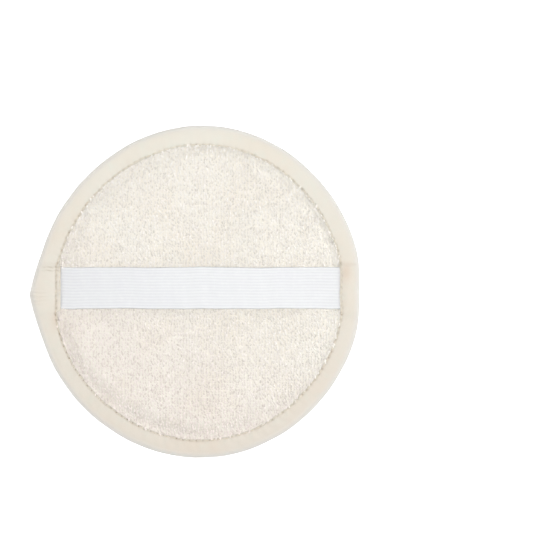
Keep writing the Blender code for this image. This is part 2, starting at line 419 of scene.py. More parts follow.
def sideways(given):
    """A random step in the plane for each element."""
    return random_value(given, (-1.0, -1.0, 0.0), (1.0, 1.0, 0.0))


def even_grid(column_gap, row_gap, columns, rows):
    """A flat grid of points at even gaps."""
    return put(column_gap.tree, "GeometryNodeMeshGrid",
               {0: column_gap * (columns - 1.0), 1: row_gap * (rows - 1.0), 2: columns, 3: rows})


def copies(points, thing, turn, scale):
    """A copy of a thing at each point, turned and scaled."""
    return points.to("InstanceOnPoints", {"Instance": thing, "Rotation": turn, "Scale": scale})


def arch(tree, steps, start, start_handle, end_handle, end):
    """A line that bends from one point to another, and how far along it each point is."""
    line = put(tree, "GeometryNodeCurvePrimitiveBezierSegment",
               {"Resolution": steps, "Start": start, "Start Handle": start_handle,
                "End Handle": end_handle, "End": end})
    return line, put(tree, "GeometryNodeSplineParameter")


def ring(tree, sides, radius):
    """A round section for a thread."""
    return put(tree, "GeometryNodeCurvePrimitiveCircle", {"Resolution": sides, "Radius": radius})


def sweep(line, section, **scale):
    """A closed solid with the same section all along a line."""
    return line.to("CurveToMesh", {1: section, "Fill Caps": True, **scale})

# %% [markdown]
# ## The finishes
# Everything here is undyed fibre, so the colours sit close together: warm white terry,
# creamy tape, straw loofah and a cooler white elastic. What tells them apart is their
# structure. Effects that several materials share are shader groups: a plain weave, a
# soft mottling that undyed fibre always shows, painted shade that darkens low places
# (on loofah the same group browns aged fibre), and the way that fuzz scatters light.

# %% Shader groups used by several finishes
FLOAT, COLOUR, VECTOR = "NodeSocketFloat", "NodeSocketColor", "NodeSocketVector"


def new_group(name, inputs, outputs):
    """An empty shader group with named sockets."""
    group = bpy.data.node_groups.new(name, "ShaderNodeTree")
    for way, sockets in (("INPUT", inputs), ("OUTPUT", outputs)):
        for label, kind in sockets.items():
            group.interface.new_socket(name=label, in_out=way, socket_type=kind)
    return group, put(group, "NodeGroupInput")


def blend(share, first, second, way="MIX"):
    """Mixes two colours by a share."""
    return put(share.tree, "ShaderNodeMix", {0: share, 6: first, 7: second},
               data_type="RGBA", blend_type=way)[2]


def mottling_group():
    """Undyed fibre: two sizes of soft cloud between three near colours."""
    inputs = {"Place": VECTOR, "Main": COLOUR, "Warm": COLOUR, "Pale": COLOUR,
              "Cloud size": FLOAT, "Fleck size": FLOAT, "Amount": FLOAT}
    group, given = new_group("Undyed fibre", inputs, {"Colour": COLOUR})
    cloud = noise(given["Place"], 1.0 / given["Cloud size"], 3.0)
    fleck = noise(given["Place"], 1.0 / given["Fleck size"], 2.0)
    warmed = blend(fade(cloud, 0.45, 0.68) * given["Amount"], given["Main"], given["Warm"])
    paled = blend(fade(fleck, 0.5, 0.72) * given["Amount"], warmed, given["Pale"])
    put(group, "NodeGroupOutput", {0: paled})
    return group


def weave_group():
    """A plain weave on a flat map in metres: crossing threads that rise in turn."""
    group, given = new_group("Plain weave", {"Map": VECTOR, "Thread pitch": FLOAT, "Turn": FLOAT},
                             {"Height": FLOAT, "Gap": FLOAT})
    turned = put(group, "ShaderNodeVectorRotate",
                 {"Vector": given["Map"], "Angle": given["Turn"]}, rotation_type="Z_AXIS")
    frequency = math.pi / given["Thread pitch"]
    phases = [part * frequency for part in parts(turned)[:2]]
    warp, weft = [maths("ABSOLUTE", maths("SINE", phase)) for phase in phases]
    crossing = maths("COSINE", phases[0]) * maths("COSINE", phases[1])
    warp = warp * maths("MULTIPLY_ADD", crossing, 0.5, 0.5)
    weft = weft * maths("MULTIPLY_ADD", crossing, -0.5, 0.5)
    height = maths("MAXIMUM", warp, weft)
    put(group, "NodeGroupOutput", {0: height, 1: fade(height, 0.35, 0.05)})
    return group


def shade_and_age_group():
    """Painted shade darkens low places. On loofah the same mix browns aged fibre."""
    inputs = {"Colour": COLOUR, "Low": FLOAT, "Dust": COLOUR, "Dust amount": FLOAT}
    group, given = new_group("Handling", inputs, {"Colour": COLOUR})
    darkened = blend(given["Low"] * given["Dust amount"], given["Colour"], given["Dust"])
    put(group, "NodeGroupOutput", {0: darkened})
    return group


def fuzz_group():
    """Fine fuzz scatters the light, so a hairy yarn shades more like the cloth it stands on."""
    group, given = new_group("Fuzz", {"Fuzziness": FLOAT}, {"Normal": VECTOR})
    own = put(group, "ShaderNodeNewGeometry")["Normal"]
    mixed = own * (1.0 - given["Fuzziness"]) + vector(z=given["Fuzziness"])
    put(group, "NodeGroupOutput", {0: maths("NORMALIZE", mixed)})
    return group


UNDYED_FIBRE = mottling_group()
FUZZ = fuzz_group()
PLAIN_WEAVE = weave_group()
SHADE_AND_AGE = shade_and_age_group()
print("groups:", ", ".join(group.name for group in (UNDYED_FIBRE, PLAIN_WEAVE, SHADE_AND_AGE, FUZZ)))


# %% Finish helpers
def colour(red, green, blue):
    """A colour as a paint program shows it, turned into light."""
    shown = np.array([red, green, blue]) / 255
    light = np.where(shown <= 0.04045, shown / 12.92, ((shown + 0.055) / 1.055) ** 2.4)
    return (*light.tolist(), 1.0)


def new_finish(name, roughness, sheen):
    """A material with its tree, its shader and the place on the piece in metres."""
    finish = bpy.data.materials.new(name)
    finish.use_nodes = True
    tree = finish.node_tree
    shader = tree.nodes["Principled BSDF"]
    fill(shader, {"Roughness": roughness, "Sheen Weight": sheen, "Specular IOR Level": 0.25})
    return finish, tree, shader, put(tree, "ShaderNodeTexCoord")["Object"]


def use_group(tree, group, **inputs):
    """Places a shader group and fills its inputs by name."""
    node = tree.nodes.new("ShaderNodeGroup")
    node.node_tree = group
    fill(node, {label.replace("_", " "): value for label, value in inputs.items()})
    return Value(node.outputs[0])


def undyed(place, main, warm, pale, cloud_size, fleck_size, amount):
    """The mottled colour of undyed fibre."""
    return use_group(place.tree, UNDYED_FIBRE, Place=place, Main=colour(*main), Warm=colour(*warm),
                     Pale=colour(*pale), Cloud_size=cloud_size, Fleck_size=fleck_size, Amount=amount)


def shade_and_age(clean, low, dust, amount):
    """A colour that is darker in its low places: painted shade in hollows, and browner aged fibre on loofah.
    """
    return use_group(clean.tree, SHADE_AND_AGE, Colour=clean, Low=low, Dust=colour(*dust), Dust_amount=amount)


def attribute(tree, name):
    """A number kept on the mesh."""
    return put(tree, "ShaderNodeAttribute", attribute_name=name)["Fac"]


def cover(shader, shown, height, distance, strength=1.0, **normal):
    """Gives a shader its colour, and a height that catches the light."""
    relief = put(height.tree, "ShaderNodeBump",
                 {"Height": height, "Distance": distance, "Strength": strength, **normal})
    fill(shader, {"Base Color": shown, "Normal": relief})


# %% Terry, cloth ground, binding, elastic, thread and loofah finishes
KNIT_PITCH = 0.00052
# Where the terry's painted shade towards the near side starts and ends: x times the lean, plus y.
NEAR_SIDE_LEAN, NEAR_SIDE_START, NEAR_SIDE_END = 0.6, 0.005, -0.050


def terry_finish():
    """Looped cotton: each loop has its own tone, and painted shade darkens the low parts of the loops and
    the near side, which it also tints pinker.
    """
    finish, tree, shader, place = new_finish("Looped cotton", 0.95, 0.3)
    fibre = undyed(place, (248, 246, 243), (247, 238, 232), (251, 250, 247), 0.016, 0.0009, 0.6)
    toned = blend(maths("POWER", attribute(tree, "tone"), 1.2), fibre, colour(183, 176, 164))
    # Painted shade: the low parts of each loop, down among the other loops, are darker.
    shown = shade_and_age(toned, 1.0 - attribute(tree, "crown"), (236, 232, 225), 0.6)
    # Painted shade: darker and a little pinker towards the near, lower left side of the pad.
    x, y, _ = parts(place)
    near_side = fade(maths("MULTIPLY_ADD", x, NEAR_SIDE_LEAN, y), NEAR_SIDE_START, NEAR_SIDE_END)
    terry_near_shaded = blend(near_side, shown, colour(252, 247, 247), "MULTIPLY")
    cover(shader, terry_near_shaded, noise(place, 6500.0, 2.0), 0.00003, 0.6,
          Normal=use_group(tree, FUZZ, Fuzziness=0.62))
    return finish


def ground_finish():
    """The woven ground that the terry loops stand in."""
    finish, tree, shader, place = new_finish("Terry ground", 0.95, 0.2)
    fibre = undyed(place, (236, 232, 223), (235, 228, 216), (243, 240, 233), 0.014, 0.001, 0.6)
    weave = use_group(tree, PLAIN_WEAVE, Map=place, Thread_pitch=0.0006, Turn=0.0)
    # Painted shade: the gaps of the weave are darker.
    cover(shader, shade_and_age(fibre, weave["Gap"], (226, 214, 194), 0.5), weave, 0.00008)
    return finish


def binding_finish():
    """Plain cotton tape, cut on the bias, with painted shade on its near side and a painted grey of shade
    and reflection on its outer fold. It is stained where it was rubbed.
    """
    finish, tree, shader, place = new_finish("Cotton tape", 0.9, 0.25)
    flat_map = put(tree, "ShaderNodeUVMap", uv_map="UVMap")
    fibre = undyed(place, (204, 200, 190), (204, 196, 183), (200, 201, 191), 0.02, 0.004, 0.55)
    weave = use_group(tree, PLAIN_WEAVE, Map=flat_map, Thread_pitch=0.00042, Turn=0.785)
    # Painted shade in the weave gaps, at the needle holes and along the lap lines.
    low = maths("MAXIMUM", weave["Gap"] * 0.5, attribute(tree, "seam"))
    # Painted shade: the near side of the tape is darker.
    tape_near_shaded = blend(attribute(tree, "near_side"), fibre, colour(248, 244, 243), "MULTIPLY")
    stained = blend(attribute(tree, "stain"), tape_near_shaded, colour(250, 240, 234), "MULTIPLY")
    # Painted shade and reflection: the outer edge of the fold turns a cooler grey.
    edged = blend(attribute(tree, "fold"), stained, colour(203, 201, 197))
    cover(shader, shade_and_age(edged, low, (146, 130, 108), 0.8), weave, 0.00006, 0.7)
    return finish


def elastic_finish():
    """White knitted elastic: cords lengthwise, fine yarn wound across them."""
    finish, tree, shader, place = new_finish("White elastic", 0.75, 0.15)
    fibre = undyed(place, (208, 209, 210), (206, 206, 209), (213, 214, 214), 0.012, 0.002, 0.5)
    along, turns = attribute(tree, "along"), math.tau / KNIT_PITCH
    courses = maths("SINE", along * turns)
    slant = maths("SINE", maths("MULTIPLY_ADD", along, turns, attribute(tree, "rib") * math.tau))
    # Painted shade: the valleys between the cords are darker.
    low = fade(attribute(tree, "valley"), 0.45, 1.0)
    cover(shader, shade_and_age(fibre, low, (181, 181, 189), 0.3), courses * 0.4 + slant * 0.6, 0.00006, 0.7)
    return finish


def thread_finish():
    """Two-ply sewing thread, a shade browner than the tape."""
    finish, tree, shader, place = new_finish("Sewing thread", 0.7, 0.1)
    fibre = undyed(place, (207, 200, 185), (200, 186, 168), (213, 208, 196), 0.012, 0.0008, 0.7)
    twist = maths("SINE", attribute(tree, "twist") * math.tau)
    # Painted shade: the groove between the two plies is darker.
    low = maths("MULTIPLY_ADD", twist, -0.5, 0.5)
    cover(shader, shade_and_age(fibre, low, (163, 146, 123), 0.35), twist, 0.0001, 0.7)
    return finish


def loofah_finish(name, main, warm, pale, brown):
    """Dried gourd fibre: straw, with paler and browner lengths and a dry gloss."""
    finish, tree, shader, place = new_finish(name, 0.62, 0.05)
    fibre = undyed(place, main, warm, pale, 0.011, 0.0016, 0.8)
    speck = fade(noise(place, 820.0, 1.0), 0.60, 0.70)
    low = maths("MAXIMUM", attribute(tree, "age"), speck)
    cover(shader, shade_and_age(fibre, low, brown, 0.6), noise(place, 5200.0, 2.0), 0.0001, 0.5)
    return finish


TERRY = terry_finish()
GROUND = ground_finish()
TAPE = binding_finish()
ELASTIC = elastic_finish()
THREAD = thread_finish()
FIBRE = loofah_finish("Loofah fibre", (241, 237, 223), (235, 225, 203), (247, 246, 238), (200, 184, 152))
FIBRE_BED = loofah_finish("Loofah bed", (213, 207, 188), (207, 197, 171), (221, 216, 200), (154, 138, 108))
print("finishes:", len(bpy.data.materials) - len(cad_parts))

# %% [markdown]
# ## The binding
# A tape 19 mm wide, its raw edges already turned in, is folded over the rim and sewn
# through all the layers. It could be a curve with a bevel, but its section changes on
# the way round: it lifts over the ends of the strap, doubles where its own ends lap, and
# dips at each needle hole. So its section is worked out at 840 angles and the sections
# are joined.

# %% The lips, their seams and the lap
SEAM_STITCHES = 140
RINGS = 840
EDGE_THICKNESS = 0.00064
STAINS = ((-0.0655, -0.0130, 0.0016, 0.0042, 0.65), (0.0664, 0.0088, 0.0020, 0.0040, 0.9))
LIP_MEAN, LIP_LEAN = 0.0089, 0.0004
LEFT_EDGE = 0.0628
END_EASE = 0.0016
SEAM_FROM_EDGE = 0.00074
LEFT_SEAM_FROM_EDGE = 0.0021
LAP_LINES_Y = (0.0112, 0.0097)
LAP_END_Y = -0.0190
LAP_STEP, LAP_STEP_EASE, LAP_END_EASE = 0.00042, 0.00032, 0.0060
LINE_WIDTH, LINE_DEPTH, LINE_EASE = 0.00024, 0.00016, 0.0015
FOLD_END = 0.0020
UNDER_SEAM_FROM_EDGE = 0.0008
FAR_EASE, NEAR_EASE = 0.0022, 0.0060
LIFT_SLACK = 0.0001
LIP_PRESS, PRESS_FROM, PRESS_EASE = 0.0003, 0.0050, 0.0035
GROOVE_WIDTH, GROOVE_DEPTH, GROOVE_SWING = 0.00042, 0.00018, 0.00013
PUCKER_WIDTH, PUCKER_DEPTH = 0.0013, 0.00010
CREASE_REACH, CREASE_INSET = 0.0030, 0.0046
CREASE_HEIGHT, CREASE_PITCH = 0.00050, 0.0018
LIP_PUFF = 0.00022
DRAG_HEIGHT, DRAG_PITCH, DRAG_SLANT = 0.00006, 0.0061, 0.0105
# Stretches of the seam where the needle holes' painted shade is darker: where, how strong, half width and
# how sharp.
DARK_STRETCHES = ((157.0, 0.65, 14.0, 0.8), (206.0, 0.75, 30.0, 0.55), (242.0, 0.6, 16.0, 0.8),
                  (268.0, 0.5, 9.0, 0.8), (332.0, 0.6, 22.0, 0.8))


def slow_waves(angle, counts, size, seed):
    """Soft unevenness that closes on itself round the rim."""
    rng = np.random.default_rng(seed)
    total = sum(rng.uniform(0.5, 1.0) * np.cos(count * angle + rng.uniform(0, math.tau)) for count in counts)
    return size * total / math.sqrt(len(counts))


def at_left_end(angle):
    """1 where the top lip crosses the strap's left end."""
    return beside_strap(LEFT_EDGE * np.sin(angle), END_EASE) * (np.cos(angle) < 0)


def top_edge(angle):
    """How far in the top lip reaches. It is straight across the strap's left end."""
    hand = slow_waves(angle, (5, 9, 17, 26, 41, 58), 0.00017, 23)
    free = LIP_MEAN + LIP_LEAN * np.sin(angle) + hand
    straight = outline(angle) - LEFT_EDGE / np.maximum(-np.cos(angle), 0.5) + 0.5 * hand
    return free + (straight - free) * at_left_end(angle)


def top_seam(angle):
    """Where the seam runs on the top lip, just outside its edge."""
    return top_edge(angle) - SEAM_FROM_EDGE - (LEFT_SEAM_FROM_EDGE - SEAM_FROM_EDGE) * at_left_end(angle)


def under_seam(angle):
    """Where the seam runs on the under lip."""
    return UNDER_LIP - UNDER_SEAM_FROM_EDGE + slow_waves(angle, (6, 9, 14), 0.00012, 32)


def stitch_phase(angle):
    """1 at the middle of a stitch and -1 at a needle hole."""
    return np.cos(SEAM_STITCHES * angle)


def needle_holes(angle):
    """How dark the painted shade at each needle hole is: some stretches are darker, and no two are alike."""
    darker_stretch = sum(bump(angle, stretch) for stretch in DARK_STRETCHES)
    own = np.random.default_rng(26).uniform(0.0, 1.0, SEAM_STITCHES) ** 1.5
    number = np.floor(angle * SEAM_STITCHES / math.tau).astype(int) % SEAM_STITCHES
    near_hole = (0.5 - 0.5 * stitch_phase(angle)) ** (1.5 - 1.1 * np.clip(darker_stretch, 0.0, 1.0))
    covered = beside_strap(y_at(angle, 0.0), END_EASE) * (np.cos(angle) > 0)
    return near_hole * np.clip(0.12 + 0.9 * own[number] + darker_stretch, 0.0, 1.0) * (1 - covered)


def lip_lift(angle, inset):
    """How far the top lip is lifted by the strap's end."""
    y = y_at(angle, inset)
    ease = np.where(y > STRAP_MIDDLE_Y, FAR_EASE, NEAR_EASE)
    pressed = LIP_PRESS * smooth((inset - PRESS_FROM) / PRESS_EASE)
    return (STRAP_THICKNESS + LIFT_SLACK - pressed) * beside_strap(y, ease)


def lap_rise(angle, inset):
    """The doubled part of the tape at the left: a folded end above, a soft one below."""
    y = y_at(angle, inset)
    step = smooth((LAP_LINES_Y[0] - y) / LAP_STEP_EASE) * smooth((y - LAP_END_Y) / LAP_END_EASE)
    return np.where(np.cos(angle) < 0, LAP_STEP * step - LINE_DEPTH * lap_lines(angle, inset), 0.0)


def lap_lines(angle, inset):
    """1 along the folded end and along the crease below it."""
    y = y_at(angle, inset)
    lines = sum(np.exp(-((y - line) / LINE_WIDTH) ** 2) for line in LAP_LINES_Y)
    return lines * (np.cos(angle) < 0) * smooth((inset - FOLD_END) / LINE_EASE)


def seam_dip(angle, away):
    """How far the thread pulls the tape in, at a distance from the seam."""
    groove = np.exp(-(away / GROOVE_WIDTH) ** 2)
    pucker = np.exp(-(np.abs(away) / PUCKER_WIDTH))
    phase = stitch_phase(angle)
    return groove * (GROOVE_DEPTH - GROOVE_SWING * phase) - pucker * PUCKER_DEPTH * phase


def corner_creases(angle, inset):
    """Three short gathers where the lapped ends make the corner."""
    along = turn_from(angle, LAPPED_CORNER[0] + 0.3) * MEAN_RADIUS
    near = np.exp(-(along / CREASE_REACH) ** 2) * np.exp(-(inset / CREASE_INSET) ** 2)
    return CREASE_HEIGHT * np.cos(along * math.tau / CREASE_PITCH) * near


def tape_face(angle, inset, seam):
    """The puff and the small folds of a lip's outer face."""
    share = np.clip((inset - FOLD_END) / (seam - FOLD_END), 0.0, 1.0)
    middle = np.sin(math.pi * share)
    drag = DRAG_HEIGHT * np.sin(angle * MEAN_RADIUS * math.tau / DRAG_PITCH + inset * math.tau / DRAG_SLANT
                                + slow_waves(angle, (3, 5, 8), 1.5, 21))
    sway = slow_waves(angle, (7, 11, 16, 23), 0.00010, 22)
    return LIP_PUFF * middle + (drag + sway) * middle - seam_dip(angle, inset - seam)


# %% The section of the folded tape at every angle
EDGE_TURNS = np.radians([-90, -45, 0, 45, 90])
FOLD_TURNS = np.radians(np.linspace(90, -90, 15))
BY_SEAM = (0.00036, 0.00018, 0.00008, 0.0, -0.00008, -0.00018, -0.00036)
OVER_SHEETS = (0.1, 0.22, 0.36, 0.5, 0.66, 0.83, 1.0)
LIP_START = 0.0032
MARK_WIDTH = 0.00036
INNER_LOW, INNER_HIGH = 0.0055, 0.0060


def lip_points(seam):
    """The insets of a lip's outer face, close together at the seam, and how near the seam each is."""
    by_seam = [(seam + step, math.exp(-(step / MARK_WIDTH) ** 2)) for step in BY_SEAM]
    last = by_seam[-1][0]
    return by_seam + [(last + (LIP_START - last) * share, 0) for share in OVER_SHEETS]


def tape_sections(angle):
    """The inset, the height above the rim's middle, the seam mark and the fold mark of each column."""
    half = EDGE_THICKNESS / 2
    edge, seam = top_edge(angle), top_seam(angle)
    low_edge = UNDER_LIP + slow_waves(angle, (7, 13, 29, 47), 0.00015, 25)
    low_seam = under_seam(angle)
    inner = RIM_HALF - TAPE_THICKNESS
    columns = []

    def top(inset):
        return RIM_HALF + lip_lift(angle, inset)

    def add(inset, height, seam_mark=0, fold_mark=0):
        columns.append((inset + 0 * angle, height + 0 * angle, seam_mark, fold_mark))

    for turn in EDGE_TURNS:
        inset = edge - half + half * math.cos(turn)
        add(inset, top(inset) + (half * math.sin(turn) - half) - seam_dip(angle, edge - half - seam))
    for inset, mark in lip_points(seam):
        add(inset, top(inset) + tape_face(angle, inset, seam), mark)
    for turn in FOLD_TURNS:
        inset = RIM_HALF * (1 - math.cos(turn)) + slow_waves(angle, (13, 19, 31), 0.00007, 24)
        reach = top(inset) if math.sin(turn) >= 0 else RIM_HALF
        add(inset, reach * math.sin(turn), 0, math.cos(turn))
    for inset, mark in reversed(lip_points(low_seam)):
        add(inset, -RIM_HALF - tape_face(angle, inset, low_seam), mark)
    for turn in EDGE_TURNS:
        rise = half * (1 + math.sin(turn))
        add(low_edge - half + half * math.cos(turn),
            rise - RIM_HALF + seam_dip(angle, low_edge - half - low_seam))
    add(INNER_LOW, -inner)
    for turn in EDGE_TURNS:
        inset = RIM_HALF - inner * math.cos(turn)
        reach = top(inset) - TAPE_THICKNESS if math.sin(turn) >= 0 else inner
        add(inset, reach * math.sin(turn))
    add(INNER_HIGH, top(INNER_HIGH) - TAPE_THICKNESS)
    return columns


# %% Join the sections into a band
def stains(points):
    """Two soft marks beside the strap's ends, where wet elastic has rubbed."""
    x, y = points[..., 0] - PAD_MIDDLE, points[..., 1]
    return sum(share * np.exp(-((x - left) / width) ** 2 - ((y - up) / height) ** 2)
               for left, up, width, height, share in STAINS)


def make_binding():
    """Joins the sections into one closed band."""
    angle = np.arange(RINGS) * math.tau / RINGS
    columns = tape_sections(angle)
    insets, ups = [np.stack([c[place] for c in columns], 1) for place in (0, 1)]
    around = angle[:, None]
    side = np.clip(ups / RIM_HALF, -0.5, 1.0)
    creases = corner_creases(around, insets) * np.sign(ups) * (insets < 0.006)
    ups = ups + lap_rise(around, insets) * side + creases
    points = at_rim(around, insets, RIM_HEIGHT + ups)
    faces, corners = ring_faces(RINGS, len(columns))
    tape = new_object("folded_binding", points.reshape(-1, 3), faces[:, ::-1])
    steps = np.hypot(np.diff(insets[0], append=insets[0, :1]), np.diff(ups[0], append=ups[0, :1]))
    across = np.concatenate([[0.0], np.cumsum(steps)])
    along = np.arange(RINGS + 1) * math.tau / RINGS * MEAN_RADIUS
    store_uv(tape, corners[::-1], along, across)
    # The seam mark holds painted shade at the needle holes and along the lap's folded end and crease.
    lap = 0.6 * lap_lines(around, insets) * np.clip(side, 0, 1)
    store_value(tape, "seam", needle_holes(around) * [c[2] for c in columns] + lap)
    # How near the fold's outer edge each point is, for its painted grey of shade and reflection.
    store_value(tape, "fold", np.broadcast_to([c[3] for c in columns], insets.shape))
    # 1 at the near side and 0 at the far side, for the tape's painted shade.
    store_value(tape, "near_side", np.broadcast_to(0.5 - 0.5 * np.sin(around), insets.shape))
    store_value(tape, "stain", stains(points) * (ups > 0))
    tape.data.materials.append(TAPE)
    return tape


binding = make_binding()
print(f"binding: {len(binding.data.polygons) * 2} triangles")

# %% [markdown]
# ## The terry cloth
# The cloth is cut a little large and sewn down at the rim only, so it swells between
# the stitches. A cloth simulation finds that shape: the rim is pinned, the fabric
# is given slack and a little pressure, and the result is kept within a small distance
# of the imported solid. The woven ground comes first, and its loops come after.

# %% Cut the terry ground
TERRY_STEP, TERRY_RIM_POINTS = 0.0030, 190
SHEET_INSET = 0.0030
GRID_REACH = 0.08
SLACK = 0.012
PRESSURE = 2.0
MOST_SWELL = 0.0007
CLOTH_FRAMES = 20


def cut_disc(step, inset, rim_points, seed):
    """A disc of evenly scattered points, joined by triangles."""
    rng = np.random.default_rng(seed)
    turns = np.arange(rim_points) * math.tau / rim_points
    rim = at_rim(turns, np.full(rim_points, inset), 0.0)[:, :2]
    rows = np.arange(-GRID_REACH, GRID_REACH, step * math.sqrt(0.75))
    x, y = np.meshgrid(np.arange(-GRID_REACH, GRID_REACH, step), rows)
    x = x + (np.arange(len(rows)) % 2)[:, None] * step / 2
    grid = np.stack([x.ravel(), y.ravel()], 1) + rng.uniform(-0.12, 0.12, (x.size, 2)) * step
    grid = grid[inset_of(grid[:, 0], grid[:, 1]) > inset + 0.6 * step]
    flat = np.concatenate([rim, grid])
    _, _, faces, _, _, _ = delaunay_2d_cdt([Vector(p) for p in flat], [], [], 0, 1e-7)
    return flat, [f for f in faces if max(f) >= rim_points]


def slack_cloth(cloth, pinned):
    """Lets a pinned cloth swell, and keeps each point near where it started."""
    start = points_of(cloth).astype(float)
    group = cloth.vertex_groups.new(name="sewn")
    group.add([int(i) for i in np.flatnonzero(pinned)], 1.0, "REPLACE")
    swell = cloth.modifiers.new("Swell", "CLOTH")
    rules = swell.settings
    rules.quality = 6
    rules.mass = 0.12
    rules.tension_stiffness = rules.compression_stiffness = 12.0
    rules.shear_stiffness = 6.0
    rules.bending_stiffness = 0.6
    rules.vertex_group_mass = "sewn"
    rules.shrink_min = -SLACK
    rules.use_pressure = True
    rules.uniform_pressure_force = PRESSURE
    rules.effector_weights.gravity = 0.0
    swell.collision_settings.use_collision = False
    for number in range(1, CLOTH_FRAMES + 1):
        bpy.context.scene.frame_set(number)
    way = points_of(evaluated(cloth)).astype(float) - start
    cloth.modifiers.remove(swell)
    bpy.context.scene.frame_set(1)
    far = np.linalg.norm(way, axis=1, keepdims=True)
    kept = start + way * MOST_SWELL * np.tanh(far / MOST_SWELL) / np.maximum(far, 1e-9)
    move_points(cloth, kept)
    print(f"terry swelled by {far.max() * 1000:.2f} mm before it was held, "
          f"and {np.abs(kept - start).max() * 1000:.2f} mm after")


flat_terry, terry_faces = cut_disc(TERRY_STEP, SHEET_INSET, TERRY_RIM_POINTS, 5)
terry_height = terry_top(flat_terry[:, 0], flat_terry[:, 1])
trial = new_object("terry_trial", np.column_stack([flat_terry, terry_height]), terry_faces)
slack_cloth(trial, inset_of(flat_terry[:, 0], flat_terry[:, 1]) < TOP_LIP - SEAM_FROM_EDGE)


# %% Give the ground its thickness and smooth it
def close_sheet(name, flat, heights, faces, rim_points, back, finish, face_up=True):
    """A closed sheet: the shaped face, a flat back and the cut edge between them."""
    count = len(flat)
    points = [np.column_stack([flat, heights]), np.column_stack([flat, np.full(count, back)])]
    rear_faces = [[i + count for i in reversed(f)] for f in faces]
    edge = [(i, i + count, (i + 1) % rim_points + count, (i + 1) % rim_points) for i in range(rim_points)]
    whole = [list(f) for f in faces] + rear_faces + edge
    if not face_up:
        whole = [list(reversed(f)) for f in whole]
    sheet = new_object(name, np.concatenate(points), whole)
    finer = sheet.modifiers.new("Finer", "SUBSURF")
    finer.levels = finer.render_levels = 1
    finer.subdivision_type = "SIMPLE" if face_up else "CATMULL_CLARK"
    fine = bpy.data.meshes.new_from_object(evaluated(sheet))
    sheet.modifiers.clear()
    rough, sheet.data = sheet.data, fine
    bpy.data.meshes.remove(rough)
    fine.name = name
    fine.shade_smooth()
    fine.materials.append(finish)
    return sheet


terry_heights = points_of(trial)[:, 2]
bpy.data.objects.remove(trial)
terry = close_sheet("terry_ground", flat_terry, terry_heights, terry_faces, TERRY_RIM_POINTS,
                    TERRY_UNDERSIDE, GROUND)
ground = points_of(terry)
ground_angle = np.arctan2(ground[:, 1], ground[:, 0] - PAD_MIDDLE)
store_value(terry, "clear", inset_of(ground[:, 0], ground[:, 1]) - top_edge(ground_angle))
strap_room = strap_underside(ground[:, 0]) - GAP - ground[:, 2]
store_value(terry, "room", strap_room + 0.02 * (1 - beside_strap(ground[:, 1], 0.0012)))
print(f"terry ground: {len(terry.data.polygons) * 2} triangles")

# %% [markdown]
# ## The terry loops
# Terry is woven with a second, slack warp that stands up in loops, in columns along the
# cloth. More than nine thousand are needed, so one loop of yarn is made and Geometry
# Nodes sets it on a grid. Each point is moved a little, dropped on to the ground below
# it, left out under the binding, and its loop is pressed down under the strap's ends.
# The loops lean and turn as used ones do, and those at the rim are larger, so that some
# lie over the edge of the binding. Three pieces keep each mesh light.

# %% A tree for yarn loops on a ground
OVER_PAD, UNDER_PAD = 0.05, -0.02
RAY_LENGTH = 0.2
PRESSED_OUT, PRESSED_FREE = 0.45, 1.35
RIM_LOOPS_FROM, RIM_LOOPS_TO, RIM_LOOPS_SIZE = -0.0004, 0.0014, 1.35


def drop_on(target, above, direction, points):
    """Moves points along Z on to a ground, and keeps what the ground says there."""
    tree = target.tree
    start = position(tree) * (1.0, 1.0, 0.0) + (0.0, 0.0, above)
    for label in ("clear", "room"):
        ray = put(tree, "GeometryNodeRaycast", {
            "Target Geometry": target, "Attribute": named(tree, label), "Source Position": start,
            "Ray Direction": (0.0, 0.0, direction), "Ray Length": RAY_LENGTH}, data_type="FLOAT")
        points = keep(points, label, ray["Attribute"])
    return put_at(keep(points, "hit", ray["Is Hit"], "BOOLEAN"), ray["Hit Position"])


def off_ground(given):
    """1 for what missed the ground or lies under the binding."""
    tree = given.tree
    return any_of(named(tree, "hit") < 0.5, named(tree, "clear") < given["Edge Clearance"])


def yarn_loop(given):
    """One loop of yarn: up, over and down, with its crown marked."""
    width, height = given["Loop Width"], given["Loop Height"]
    half, wide = width * 0.5, width * 0.95
    high, foot = height * 1.42, height * -0.12
    line, share = arch(given.tree, 4, vector(y=-half, z=foot), vector(width * 0.35, -wide, high),
                       vector(y=wide, z=high), vector(y=half, z=foot))
    crown = share * (1.0 - share) * 4.0
    return sweep(keep(line, "crown", crown), ring(given.tree, 4, given["Yarn Radius"]))


